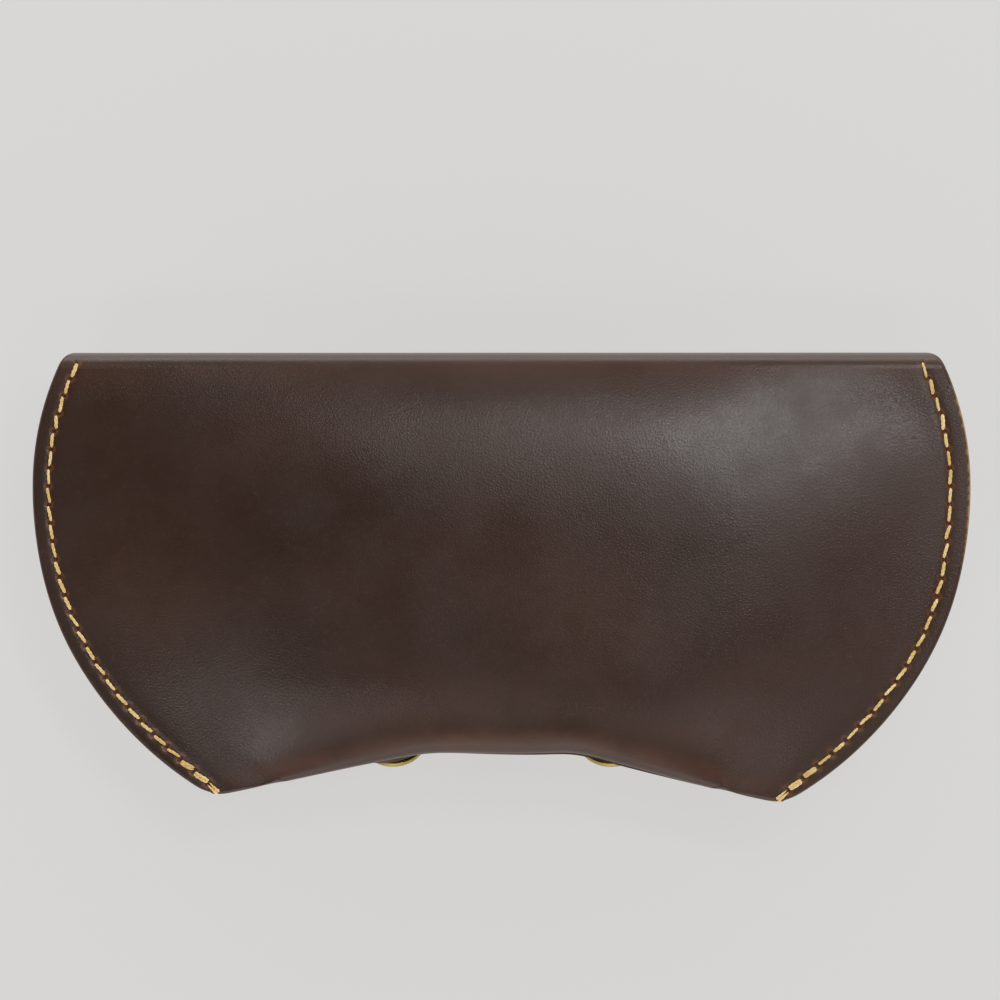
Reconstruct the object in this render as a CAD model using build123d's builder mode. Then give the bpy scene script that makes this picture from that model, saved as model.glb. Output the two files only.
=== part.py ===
from build123d import *
import os
from math import cos, exp, hypot, log, pi, sin, sqrt

os.makedirs("parts", exist_ok=True)

# A leather case for folded glasses, cut from one blank and sewn up its two sides.
# It lies on its closed flap with the back panel up, as such a case lies on a table.
# +X runs across the width, +Y from the nose notch up to the top fold, +Z up.
# Places on the case are told by three numbers: x, the rise (0 at the two lower corners,
# growing towards the top fold) and the depth below the seam plane, towards the flap.

# Outline of the sewn case, in millimetres
height = 82.9                 # lower corners to the top of the fold
half_width = 87.6             # at the widest place
widest_rise = 58.0            # how far up the widest place lies
corner_draw_in = 33.4         # the lower corners lie this far inside the widest place
upper_side_radius = 54.0      # outline above the widest place
notch_height = 8.0            # the flat of the nose notch above the lower corners
notch_half_flat = 13.5        # half the length of that flat
notch_slope = 0.2             # fall of the lower edge from the flat to the corners
notch_softness = 1.5          # how softly the flat turns into the slope

# Leather, hollow and clearances
leather = 1.8                 # thickness of the hide
hollow_front = 22.5           # depth of the hollow in front of the seam plane
hollow_back = 5.0             # crown of the back panel behind it
flap_gap = 0.9                # air between the pocket and the flap, at the top fold
lip_gap = 0.5                 # and at the flap's lower edge
flap_gap_reach = 0.6          # share of the height over which the gap grows
belly_flat = 0.5              # how much of the flap's belly is flattened where it rests
front_fold_height = 28.0      # the bottom turns into the pocket front over this rise
front_fold_power = 2.4        # a higher power gives a flatter bottom
back_fold_height = 16.0
back_fold_power = 2.2
front_shoulder = 44.0         # rise where the front starts to close in on the fold
back_shoulder = 46.0
side_power = 3.0              # how late the walls close in on the side seams
side_blunt = 1.6              # how softly they meet the seam
flange_start = 0.8            # share of the half width where the lower edge starts to flatten
hollow_inset = 1.1            # the hollow starts this far inside the stitch line
seam_play = 0.04              # each panel keeps this much clear of the seam plane
mouth_rise = 50.0             # lowest point of the pocket's scooped mouth
mouth_half_width = 76.5       # where the mouth meets the top of the pocket
mouth_side_gap = 0.35         # the pocket stops this much short of the fold

# Top fold and flap
fold_corner = 2.8             # rounding of the fold's two ends
flap_part = 0.915             # share of the panel's span that the flap covers
flap_taper = 0.25             # share of the height over which it widens to the whole fold
flap_lip_height = 3.2         # lower edge of the flap above the bottom line, in the middle
flap_corner_height = 12.0     # and at its two corners
flap_corner_power = 4.0
tab_drop = 1.9                # the lower edge reaches this much further round each stud
tab_half_width = 8.0

# Side seams, saddle stitched
seam_inset = 3.1              # stitch line inside the outline
corner_inset = 1.3            # at the lower corner
corner_taper = 14.0           # rise over which the stitch line runs out to it
stitch_pitch = 3.44
stitch_length = 2.45
thread_width = 0.65
thread_rise = 0.4
thread_seat = 0.05            # air under a stitch, so that it lies on the leather, not in it
seam_top_gap = 0.3            # first stitch below the start of the fold
seam_end_rise = 1.3           # the stitch line ends this far up, at the lower corner

# Press studs, one pair each side of the nose notch
stud_x = 20.8
stud_height = 4.8             # height of the stud axis above the bottom line, on the hollow
stud_lift = 1.6               # the flap is held this much further off at a stud
stud_lift_spread = 7.0
cap_radius = 6.25
cap_dome = 2.4
cap_rim = 0.8
cap_foot = 0.15               # bevel where the cap meets the hide
barrel_radius = 1.6
barrel_clearance = 0.05
socket_radius = 4.6
socket_height = 1.7
socket_roof = 0.35
socket_bevel = 0.5
stud_seat = 0.1               # the stud is pressed this far into the pocket
knob_radius = 1.9
knob_neck = 0.35              # the neck is this much thinner than the knob
knob_bulge = 0.4              # height of the knob's rounding, above and below its rim
knob_rim = 0.3
knob_clearance = 0.2
knob_end_clearance = 0.15
stud_base_radius = 3.9
stud_base_height = 0.5
stud_base_bevel = (0.3, 0.2)  # inward and down
post_head_radius = 4.0
post_head_height = 0.5
post_head_bevel = 0.2
seat_clearance = 0.15

# Sampling of the shaped leather
hollow_part = 0.92            # share of the columns' span that the hollow takes
hollow_columns = 16
flange_columns = 7
flange_crowding = 1.7         # a higher number crowds these columns towards the hollow
rows_along = 32
profile_steps = 260
surface_tolerance = 0.01

fold_outer_radius = (3 * leather + flap_gap) / 2
fold_inner_radius = (leather + flap_gap) / 2
hinge_rise = height - fold_outer_radius
lower_side_radius = (corner_draw_in ** 2 + widest_rise ** 2) / (2 * corner_draw_in)
seam_height = hollow_front + 2 * leather + flap_gap - belly_flat


def place(x, rise, depth):
    """The point at these case measures, in the part's own frame."""
    return Vector(x, rise - height / 2, seam_height - depth)


def side_half_width(rise, inset=0.0):
    """Half the width of the outline at this rise, or of the line `inset` inside it."""
    radius = lower_side_radius if rise < widest_rise else upper_side_radius
    reach = sqrt(max((radius - inset) ** 2 - (rise - widest_rise) ** 2, 0.0))
    return half_width - radius + reach


def notch_line(x):
    """Rise of the lower edge: a flat in the middle, then an even slope to each corner."""
    past_flat = notch_softness * log(1 + exp((abs(x) - notch_half_flat) / notch_softness))
    return notch_height - notch_slope * past_flat


def smooth(value):
    """Ease from 0 to 1."""
    value = min(max(value, 0.0), 1.0)
    return value * value * (3 - 2 * value)


def shoulder(rise, start, power=1.7):
    """1 below the shoulder, falling to 0 at the top fold."""
    reach = min(max((rise - start) / (hinge_rise - start), 0.0), 1.0)
    return cos(pi / 2 * reach) ** power


def seam_inset_at(rise):
    """The stitch line runs out towards the edge at the lower corner."""
    return corner_inset + (seam_inset - corner_inset) * smooth(rise / corner_taper)


def spread(across, rise):
    """x at this place across the panel, and the share of the hollow's half width it has."""
    edge = side_half_width(rise)
    hollow = side_half_width(rise, seam_inset_at(rise) + hollow_inset)
    share = abs(across) / hollow_part
    x = hollow * share
    if share > 1:
        x = hollow + (edge - hollow) * (abs(across) - hollow_part) / (1 - hollow_part)
    return (x if across > 0 else -x), min(share, 1.0)


def wall(across, along, offset, front):
    """A point `offset` outside the hollow: x, rise and depth.

    across runs from -1 to 1 between the side edges, along from 0 at the lower edge to 1.
    """
    x, hollow_share = spread(across, along * hinge_rise)
    flange = smooth((hollow_share - flange_start) / (1 - flange_start))
    bottom = notch_line(spread(across, 0.0)[0]) + leather * (1 - flange)
    rise = bottom + along * (hinge_rise - bottom)

    fold_height = front_fold_height if front else back_fold_height
    power = front_fold_power if front else back_fold_power
    fullness = (1 - hollow_share ** side_power) ** side_blunt
    if front:
        reach = hollow_front * fullness * shoulder(rise, front_shoulder)
    else:
        reach = hollow_back * fullness * shoulder(rise, back_shoulder, 1.4)
    below = max(1 - (rise - bottom) / fold_height, 0.0)
    turned = (1 - below ** power) ** (1 / power)

    outward = fold_height * max(turned ** (power - 1), flange)
    downward = below ** (power - 1) * reach
    length = hypot(outward, downward)
    depth = reach * turned + offset * outward / length
    rise -= offset * downward / length
    return x, rise, depth if front else -depth


def evened(points, count):
    """The same line through `count` points, evenly spaced along it."""
    lengths = [0.0]
    for start, end in zip(points, points[1:]):
        lengths.append(lengths[-1] + (end - start).length)
    line = []
    step = 0
    for number in range(count):
        target = lengths[-1] * number / (count - 1)
        while step < len(points) - 2 and lengths[step + 1] < target:
            step += 1
        share = (target - lengths[step]) / (lengths[step + 1] - lengths[step])
        line.append(points[step] + (points[step + 1] - points[step]) * min(share, 1.0))
    return line


def column_places():
    """Places across a panel, closer together towards the side seams."""
    right = [
        hollow_part * sin(pi / 2 * number / hollow_columns)
        for number in range(1, hollow_columns + 1)
    ]
    for number in range(1, flange_columns + 1):
        share = (number / flange_columns) ** flange_crowding
        right.append(hollow_part + (1 - hollow_part) * share)
    return [-spot for spot in reversed(right)] + [0.0] + right


def panel_grid(offset, front):
    """Points of one side of a sewn panel, column by column."""
    clear = -seam_play if front else seam_play
    grid = []
    for across in column_places():
        profile = []
        for number in range(profile_steps + 1):
            along = (number / profile_steps) ** 3.5
            x, rise, depth = wall(across, along, offset, front)
            profile.append(place(x, rise, depth - clear))
        grid.append(evened(profile, rows_along))
    return grid


stud_along = stud_height / (hinge_rise - notch_line(stud_x) - leather)
stud_across = stud_x / spread(hollow_part, stud_along * hinge_rise)[0] * hollow_part
stud_gap = lip_gap + (flap_gap - lip_gap) * smooth(stud_along / flap_gap_reach)


def stud_centre(sign):
    """The stud axis where it leaves the hollow, in case measures."""
    return wall(sign * stud_across, stud_along, 0.0, True)


stud_spots = {"left": place(*stud_centre(-1)), "right": place(*stud_centre(1))}


def flap_lip(across):
    """Height of the flap's lower edge above the bottom line."""
    corner = abs(across) ** flap_corner_power
    from_stud = (abs(spread(across * flap_part, 0.0)[0]) - stud_x) / tab_half_width
    lip = flap_lip_height + (flap_corner_height - flap_lip_height) * corner
    return lip - tab_drop * exp(-from_stud ** 2)


def flap_grid(offset):
    """Points of one side of the flap, `offset` outside the pocket's outer face and the gap.

    It stands further off the pocket round each stud.
    """
    grid = []
    for across in column_places():
        start = flap_lip(across) / hinge_rise
        profile = []
        for number in range(profile_steps + 1):
            along = start + (1 - start) * (number / profile_steps) ** 2
            drawn_in = (1 - flap_part) * smooth((1 - along) / flap_taper)
            spot = across * (1 - drawn_in)
            hollow = place(*wall(spot, along, 0.0, True))
            lift = sum(
                stud_lift * exp(-(((hollow - centre).length / stud_lift_spread) ** 2))
                for centre in stud_spots.values()
            )
            gap = lip_gap + (flap_gap - lip_gap) * smooth(along / flap_gap_reach)
            profile.append(place(*wall(spot, along, leather + gap + lift + offset, True)))
        grid.append(evened(profile, rows_along))
    return grid


def leather_solid(outer_points, inner_points):
    """A closed sheet between two shaped surfaces, with straight cut edges."""
    outer = Face.make_surface_from_array_of_points(outer_points, tol=surface_tolerance)
    inner = Face.make_surface_from_array_of_points(inner_points, tol=surface_tolerance)
    cuts = []
    for edge in outer.edges():
        partner = inner.edges().sort_by_distance(edge @ 0.5)[0]
        cuts.append(Face.make_surface_from_curves(edge, partner))
    return Solid(Shell([outer, inner, *cuts]))


def stud_plane(side, level):
    """A plane across a stud's axis, `level` outside the hollow, its z pointing outward."""
    across = -stud_across if side == "left" else stud_across
    nudge = 0.02
    beside = place(*wall(across + nudge, stud_along, leather, True))
    before = place(*wall(across - nudge, stud_along, leather, True))
    above = place(*wall(across, stud_along + nudge, leather, True))
    under = place(*wall(across, stud_along - nudge, leather, True))
    outward = (above - under).cross(beside - before).normalized()
    across_x = (beside - before).normalized()
    return Plane(stud_spots[side] + outward * level, x_dir=across_x, z_dir=outward)


def half_section(side, level):
    """The plane of a stud piece's half section: x away from the case's middle, y along the axis."""
    base = stud_plane(side, level)
    outer_side = -1 if side == "left" else 1
    return Plane(base.origin, x_dir=base.x_dir * outer_side, z_dir=base.y_dir * -outer_side)


def stud_axis(side):
    base = stud_plane(side, 0)
    return Axis(base.origin, base.z_dir)


flap_level = leather + stud_gap + stud_lift
cap_level = flap_level + leather
socket_level = flap_level - socket_height
knob_level = flap_level - socket_roof - knob_end_clearance


# Sewn panels

with BuildPart() as back_panel:
    add(leather_solid(panel_grid(leather, False), panel_grid(0.0, False)))

mouth_plane = Plane(place(0, 0, 0), x_dir=(1, 0, 0), z_dir=(0, 0, -1))

with BuildPart() as pocket_front:
    add(leather_solid(panel_grid(leather, True), panel_grid(0.0, True)))
    with BuildSketch(mouth_plane):
        with BuildLine():
            scoop = ThreePointArc(
                (-mouth_half_width, -hinge_rise),
                (0, -mouth_rise),
                (mouth_half_width, -hinge_rise),
            )
            Polyline(
                scoop @ 1,
                (mouth_half_width, -height - leather),
                (-mouth_half_width, -height - leather),
                scoop @ 0,
            )
        make_face()
    extrude(amount=hollow_front + 3 * leather, both=True, mode=Mode.SUBTRACT)
    with BuildSketch(mouth_plane):
        with Locations((0, -hinge_rise)):
            Rectangle(2 * half_width, 2 * mouth_side_gap)
    extrude(amount=leather + flap_gap, both=True, mode=Mode.SUBTRACT)
    for side in stud_spots:
        with BuildSketch(half_section(side, 0)):
            with BuildLine():
                Polyline(
                    (0, -2 * leather),
                    (post_head_radius + seat_clearance, -2 * leather),
                    (post_head_radius + seat_clearance, 0),
                    (barrel_radius + barrel_clearance, 0),
                    (barrel_radius + barrel_clearance, leather - stud_seat),
                    (stud_base_radius + seat_clearance, leather - stud_seat),
                    (stud_base_radius + seat_clearance, 2 * leather),
                    (0, 2 * leather),
                    (0, -2 * leather),
                )
            make_face()
        revolve(axis=stud_axis(side), mode=Mode.SUBTRACT)


# Top fold and flap

with BuildPart() as top_fold:
    fold_plane = Plane(
        place(-half_width, hinge_rise, fold_inner_radius), x_dir=(0, 1, 0), z_dir=(1, 0, 0)
    )
    with BuildSketch(fold_plane):
        Circle(fold_outer_radius)
        Circle(fold_inner_radius, mode=Mode.SUBTRACT)
        with Locations((-fold_outer_radius, 0)):
            Rectangle(2 * fold_outer_radius, 3 * fold_outer_radius, mode=Mode.SUBTRACT)
    extrude(amount=2 * half_width)
    with BuildSketch(mouth_plane):
        with BuildLine():
            end = side_half_width(hinge_rise)
            right_corner = ThreePointArc(
                (end, -hinge_rise),
                (end - 0.25 * fold_corner, -hinge_rise - 0.62 * fold_outer_radius),
                (end - fold_corner, -height),
            )
            left_corner = mirror(right_corner, about=Plane.YZ)
            Line(right_corner @ 1, left_corner @ 1)
            Line(right_corner @ 0, left_corner @ 0)
        make_face()
    extrude(amount=4 * fold_outer_radius, both=True, mode=Mode.INTERSECT)

with BuildPart() as flap:
    add(leather_solid(flap_grid(leather), flap_grid(0.0)))
    for side in stud_spots:
        with BuildSketch(half_section(side, flap_level)):
            with BuildLine():
                Polyline(
                    (0, -leather),
                    (socket_radius + seat_clearance, -leather),
                    (socket_radius + seat_clearance, 0),
                    (barrel_radius + barrel_clearance, 0),
                    (barrel_radius + barrel_clearance, 2 * leather),
                    (0, 2 * leather),
                    (0, -leather),
                )
            make_face()
        revolve(axis=stud_axis(side), mode=Mode.SUBTRACT)
    with BuildSketch(Plane.XY):
        Rectangle(2.2 * half_width, 1.2 * height)
    extrude(amount=2 * hollow_front, mode=Mode.INTERSECT)


# Thread of the side seams

def seam_line(sign):
    """Points of one stitch line, from the top fold down to the lower corner."""
    points = []
    top = hinge_rise - seam_top_gap
    for number in range(400):
        rise = top + (seam_end_rise - top) * number / 399
        points.append((sign * side_half_width(rise, seam_inset_at(rise)), rise))
    return points


def stitch_planes(sign):
    """A plane on the leather for each stitch, back and front, its x along the seam."""
    points = seam_line(sign)
    lie = leather + thread_seat
    planes = []
    travelled = 0.0
    wanted = stitch_length / 2
    for start, end in zip(points, points[1:]):
        run = hypot(end[0] - start[0], end[1] - start[1])
        while travelled + run >= wanted:
            share = (wanted - travelled) / run
            x = start[0] + share * (end[0] - start[0])
            rise = start[1] + share * (end[1] - start[1])
            along = (end[0] - start[0], end[1] - start[1], 0)
            planes.append(Plane(place(x, rise, -lie), x_dir=along, z_dir=(0, 0, 1)))
            planes.append(Plane(place(x, rise, lie), x_dir=along, z_dir=(0, 0, -1)))
            wanted += stitch_pitch
        travelled += run
    return planes


seam_threads = {}
for side, sign in (("left", -1), ("right", 1)):
    with BuildPart() as seam_thread:
        with BuildSketch(*stitch_planes(sign)):
            SlotOverall(stitch_length, thread_width)
        extrude(amount=thread_rise)
    seam_threads[side] = seam_thread


# Press studs

stud_pieces = {}
for side in stud_spots:
    with BuildPart() as snap_cap:
        with BuildSketch(half_section(side, cap_level)):
            with BuildLine():
                rim = Line((cap_radius, cap_foot), (cap_radius, cap_rim))
                dome = Spline(rim @ 1, (0, cap_dome), tangents=((-0.35, 1), (-1, 0)))
                Polyline(
                    dome @ 1,
                    (0, -leather),
                    (barrel_radius, -leather),
                    (barrel_radius, 0),
                    (cap_radius - cap_foot, 0),
                    rim @ 0,
                )
            make_face()
        revolve(axis=stud_axis(side))

    with BuildPart() as snap_socket:
        with BuildSketch(half_section(side, socket_level)):
            with BuildLine():
                Polyline(
                    (knob_radius + knob_clearance, 0),
                    (socket_radius - socket_bevel, 0),
                    (socket_radius, socket_bevel),
                    (socket_radius, socket_height),
                    (0, socket_height),
                    (0, socket_height - socket_roof),
                    (knob_radius + knob_clearance, socket_height - socket_roof),
                    (knob_radius + knob_clearance, 0),
                )
            make_face()
        revolve(axis=stud_axis(side))

    with BuildPart() as snap_stud:
        with BuildSketch(half_section(side, leather - stud_seat)):
            with BuildLine():
                knob_top = knob_level - leather + stud_seat
                Polyline(
                    (0, 0),
                    (stud_base_radius, 0),
                    (stud_base_radius, stud_base_height - stud_base_bevel[1]),
                    (stud_base_radius - stud_base_bevel[0], stud_base_height),
                    (knob_radius - knob_neck, stud_base_height),
                    (knob_radius, knob_top - knob_bulge - knob_rim),
                    (knob_radius, knob_top - knob_bulge),
                    (knob_radius - knob_bulge, knob_top),
                    (0, knob_top),
                    (0, 0),
                )
            make_face()
        revolve(axis=stud_axis(side))

    with BuildPart() as snap_post:
        with BuildSketch(half_section(side, 0)):
            with BuildLine():
                Polyline(
                    (0, -post_head_height),
                    (post_head_radius - post_head_bevel, -post_head_height),
                    (post_head_radius, -post_head_height + post_head_bevel),
                    (post_head_radius, 0),
                    (barrel_radius, 0),
                    (barrel_radius, leather - stud_seat),
                    (0, leather - stud_seat),
                    (0, -post_head_height),
                )
            make_face()
        revolve(axis=stud_axis(side))

    stud_pieces[f"snap_cap_{side}"] = snap_cap
    stud_pieces[f"snap_socket_{side}"] = snap_socket
    stud_pieces[f"snap_stud_{side}"] = snap_stud
    stud_pieces[f"snap_post_{side}"] = snap_post


# Labels and files

pieces = {
    "back_panel": back_panel,
    "pocket_front": pocket_front,
    "top_fold": top_fold,
    "flap": flap,
    "seam_thread_left": seam_threads["left"],
    "seam_thread_right": seam_threads["right"],
    **stud_pieces,
}
for name, piece in pieces.items():
    piece.part.label = name
    export_step(piece.part, f"parts/{name}.step")
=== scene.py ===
import math

import bmesh
import bpy
import numpy as np
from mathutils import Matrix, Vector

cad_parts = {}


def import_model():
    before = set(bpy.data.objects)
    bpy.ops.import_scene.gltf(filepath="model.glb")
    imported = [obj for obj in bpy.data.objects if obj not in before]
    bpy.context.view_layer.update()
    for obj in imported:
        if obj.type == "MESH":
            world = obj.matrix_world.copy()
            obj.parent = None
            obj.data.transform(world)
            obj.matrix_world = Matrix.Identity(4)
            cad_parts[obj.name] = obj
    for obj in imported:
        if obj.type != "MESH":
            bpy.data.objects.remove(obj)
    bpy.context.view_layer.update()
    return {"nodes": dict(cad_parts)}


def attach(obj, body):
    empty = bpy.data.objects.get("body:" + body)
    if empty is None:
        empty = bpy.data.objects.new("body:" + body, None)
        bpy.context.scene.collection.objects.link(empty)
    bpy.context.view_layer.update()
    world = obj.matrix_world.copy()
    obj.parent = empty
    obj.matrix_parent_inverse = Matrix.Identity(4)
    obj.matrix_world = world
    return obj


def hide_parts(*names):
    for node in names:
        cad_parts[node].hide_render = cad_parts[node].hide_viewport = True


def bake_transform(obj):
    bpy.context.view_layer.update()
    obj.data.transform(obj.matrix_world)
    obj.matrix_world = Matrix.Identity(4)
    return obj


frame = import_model()

# Measures of the case in millimetres, the same as in the part
height = 82.9
half_width = 87.6
widest_rise = 58.0
corner_draw_in = 33.4
upper_side_radius = 54.0
notch_height = 8.0
notch_half_flat = 13.5
notch_slope = 0.2
notch_softness = 1.5
leather = 1.8
hollow_front = 22.5
hollow_back = 5.0
flap_gap = 0.9
lip_gap = 0.5
flap_gap_reach = 0.6
belly_flat = 0.5
front_fold_height = 28.0
front_fold_power = 2.4
back_fold_height = 16.0
back_fold_power = 2.2
front_shoulder = 44.0
back_shoulder = 46.0
side_power = 3.0
side_blunt = 1.6
flange_start = 0.8
hollow_inset = 1.1
mouth_rise = 50.0
mouth_half_width = 76.5
mouth_side_gap = 0.35
flap_part = 0.915
flap_taper = 0.25
flap_lip_height = 3.2
flap_corner_height = 12.0
flap_corner_power = 4.0
tab_drop = 1.9
tab_half_width = 8.0
seam_inset = 3.1
corner_inset = 1.3
corner_taper = 14.0
stitch_pitch = 3.44
stitch_length = 2.45
seam_top_gap = 0.3
stud_x = 20.8
stud_height = 4.8
stud_lift = 1.6
stud_lift_spread = 7.0
hollow_part = 0.92

fold_outer_radius = (3 * leather + flap_gap) / 2
fold_inner_radius = (leather + flap_gap) / 2
hinge_rise = height - fold_outer_radius
lower_side_radius = (corner_draw_in ** 2 + widest_rise ** 2) / (2 * corner_draw_in)
seam_height = hollow_front + 2 * leather + flap_gap - belly_flat

# Unevenness of this case, in millimetres
right_sag = 1.3               # the lower edge hangs this much lower at its right end
sag_start = 17.0
sag_spread = 24.0
sag_top = 52.0
notch_lift = 0.4              # the notch's right end lifts a little before the sag
notch_lift_x = 14.0
notch_lift_spread = 6.0
sag_side_follow = 0.6         # share of the sag that the right side's line follows
side_swell = 0.45             # the lower sides stand out this much further
side_swell_rise = 30.0
side_swell_spread = 15.0
right_seam_in = 0.8           # the right seam lies this much further in
left_corner_pull = 0.6        # the lower corners are rounded off by this much
right_corner_pull = 0.5
corner_reach = 3.6
wave_count = 14
shortest_wave, longest_wave = 0.24, 0.05    # in radians a millimetre
back_unevenness = 0.07        # scale of the soft waves of the hide
front_unevenness = 0.16
wave_fade = 12.0              # the waves fade out this close to the seam and the fold

# Stitches
first_stitch_up = 1.2         # the first stitch reaches onto the bend
last_stitch_rise = 1.3
stitch_end_inset = 0.9        # the stitches run out closer to the corner than the built line
stitch_end_taper = 4.5
stitch_slant = 6.0            # in degrees
stitch_dip = 0.30             # length that goes down into the holes
doubled_stitches = 2
channel_depth, channel_width = 0.16, 0.75
hole_depth, hole_width = 0.22, 0.45
far_from_seam = 50.0
thread_radius = 0.285
thread_lift = 0.17
wrap_radius = 0.27
wrap_start = 0.55             # the wrapped thread's hole beyond the last stitch
wrap_rise = 0.7               # the wrapped thread's lowest point
wrap_gap = 0.26
strand_gap = 0.24             # half the gap of doubled strands
strand_twist = 2.3
strand_flatness = 0.8

# Wear, and the painted sheen on the fold
edge_wear = 0.7               # the rolled lower edge is rubbed this much
edge_wear_rise, edge_wear_spread = 2.6, 1.9
top_wear, top_wear_spread = 0.35, 3.0
lip_wear = 0.8
painted_bend_sheen = 0.40              # painted sheen: the bend's crest is painted paler and greyer by this share
bare_low, bare_high = 38.0, 80.0    # the dye is worn off the right edge between these
crease_strength = 0.9

# Detail of the meshes
fold_corner = 1.3             # the fold's ends are rounded off beyond the line of the sides
edge_round = 0.35
shoulder_roundness = 2.6      # the back curves over to the fold this roundly
groove_share = (0.0, 0.1, 0.25, 0.4, 0.5, 0.6, 0.75, 0.9, 1.0)
hollow_columns = 92
flange_columns = 13
back_rows = 176
front_rows = 120
flap_rows = 140
fold_rows = 22
profile_steps = 700
settle_height = 9.0           # the rolled edge is fitted to the outline over this height
inner_clear = 0.02            # the two flesh sides stay this far off the middle of the seam


# Shape of the case

def smooth(value):
    """A soft step from 0 to 1."""
    value = np.clip(value, 0.0, 1.0)
    return value * value * (3 - 2 * value)


def bell(offset, reach):
    """One at the middle, falling to nothing past the reach."""
    return np.exp(-(offset / reach) ** 2)


def side_half_width(rise, inset=0.0):
    """Half the case's width at a rise, to a line inset from the edge."""
    radius = np.where(rise < widest_rise, lower_side_radius, upper_side_radius)
    reach = np.sqrt(np.maximum((radius - inset) ** 2 - (rise - widest_rise) ** 2, 0.0))
    return half_width - radius + reach


def notch_line(x):
    """The lower outline's rise."""
    past_flat = notch_softness * np.log1p(np.exp((np.abs(x) - notch_half_flat) / notch_softness))
    return notch_height - notch_slope * past_flat


def shoulder(rise, start):
    """How far the front's fullness has fallen off towards the top."""
    reach = np.clip((rise - start) / (hinge_rise - start), 0.0, 1.0)
    return np.maximum(np.cos(np.pi / 2 * reach), 0.0) ** 1.7


def top_tilt(fullness):
    """The back's slope where it runs into the fold, and how far it stands out there."""
    lift = 0 * fullness
    for _ in range(4):
        slope = shoulder_roundness * (hollow_back * fullness - lift) / (hinge_rise - back_shoulder)
        lift = fold_outer_radius * (np.sqrt(1 + slope ** 2) - 1)
    return slope, lift


def seam_inset_at(rise):
    """How far inside the edge the built seam runs, which sets the hollow's edge."""
    return corner_inset + (seam_inset - corner_inset) * smooth(rise / corner_taper)


def stitch_inset_at(rise):
    """How far inside the edge the stitches run."""
    return stitch_end_inset + (seam_inset - stitch_end_inset) * (1 - np.exp(-rise / stitch_end_taper))


def spread(across, rise, rounding=0.0):
    """The x of a place across the panel, and its share of the hollow's half width."""
    edge = side_half_width(rise) - rounding
    hollow = side_half_width(rise, seam_inset_at(rise) + hollow_inset)
    share = np.abs(across) / hollow_part
    outer = hollow + (edge - hollow) * (np.abs(across) - hollow_part) / (1 - hollow_part)
    x = np.where(share > 1, outer, hollow * share)
    return np.sign(across) * x, np.minimum(share, 1.0)


def wall(across, along, offset, front, rounding=0.0):
    """A point outside the hollow, as in the part: x, rise, depth and the flange's share."""
    x, share = spread(across, along * hinge_rise, rounding)
    flange = smooth((share - flange_start) / (1 - flange_start))
    bottom = notch_line(spread(across, 0 * along)[0]) + leather * (1 - flange)
    bottom = bottom + rounding * flange
    rise = bottom + along * (hinge_rise - bottom)
    fold_height = front_fold_height if front else back_fold_height
    power = front_fold_power if front else back_fold_power
    fullness = (1 - share ** side_power) ** side_blunt
    if front:
        reach = hollow_front * fullness * shoulder(rise, front_shoulder)
    else:
        up = np.clip((rise - back_shoulder) / (hinge_rise - back_shoulder), 0.0, 1.0) ** shoulder_roundness
        reach = hollow_back * fullness * (1 - up) + top_tilt(fullness)[1] * up
    below = np.clip(1 - (rise - bottom) / fold_height, 0.0, 1.0)
    turned = (1 - below ** power) ** (1 / power)
    outward = fold_height * np.maximum(turned ** (power - 1), flange)
    downward = below ** (power - 1) * reach
    length = np.hypot(outward, downward)
    depth = reach * turned + offset * outward / length
    rise = rise - offset * downward / length
    return np.stack([x, rise, depth if front else -depth], axis=-1), flange


def evened(points, count, *extra):
    """Each column of points resampled evenly along its length, with extra values carried along."""
    out = np.empty((points.shape[0], count, 3))
    carried = [np.empty((points.shape[0], count)) for _ in extra]
    for number, line in enumerate(points):
        steps = np.linalg.norm(np.diff(line, axis=0), axis=1)
        run = np.concatenate([[0.0], np.cumsum(steps)])
        places = np.linspace(0.0, run[-1], count)
        for axis in range(3):
            out[number, :, axis] = np.interp(places, run, line[:, axis])
        for held, values in zip(carried, extra):
            held[number] = np.interp(places, run, values[number])
    return (out, *carried)


def columns():
    """Places across a panel, closer together in the stitched flanges."""
    hollow = hollow_part * np.linspace(0, 1, hollow_columns + 1)[1:]
    flange = hollow_part + (1 - hollow_part) * np.linspace(0, 1, flange_columns + 1)[1:]
    right = np.concatenate([hollow, flange])
    return np.concatenate([-right[::-1], [0.0], right])


def world(points):
    """Case measures (x, rise, depth) in millimetres as places in the scene, in metres."""
    x, rise, depth = points[..., 0], points[..., 1], points[..., 2]
    lift = notch_lift * bell(x - notch_lift_x, notch_lift_spread)
    sag = right_sag * smooth((x - sag_start) / sag_spread) - lift
    sag = sag * smooth((sag_top - rise) / sag_top)
    under = np.clip(widest_rise - rise, 0, widest_rise)
    slope = under / np.sqrt(lower_side_radius ** 2 - under ** 2)
    x = x - sag_side_follow * sag * slope * smooth((x - 28) / 22)
    swell = side_swell * bell(rise - side_swell_rise, side_swell_spread)
    x = x + np.sign(x) * swell * smooth((np.abs(x) - 30) / 40)
    from_edge = side_half_width(rise) - x
    beside = smooth(from_edge / 2.6) * smooth((15 - from_edge) / 11)
    x = x - right_seam_in * beside * smooth((rise - 30) / 25)
    return np.stack([x, rise - sag - height / 2, seam_height - depth], axis=-1) * 0.001


ACROSS = columns()


# The seam line, and where a point lies beside it

seam_rises = np.linspace(hinge_rise - seam_top_gap + first_stitch_up, last_stitch_rise, 1200)
seam_xs = side_half_width(seam_rises, stitch_inset_at(seam_rises))
seam_runs = np.concatenate([[0.0], np.cumsum(np.hypot(np.diff(seam_xs), np.diff(seam_rises)))])
stitch_count = int((seam_runs[-1] - stitch_length / 2) // stitch_pitch) + 1


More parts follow.
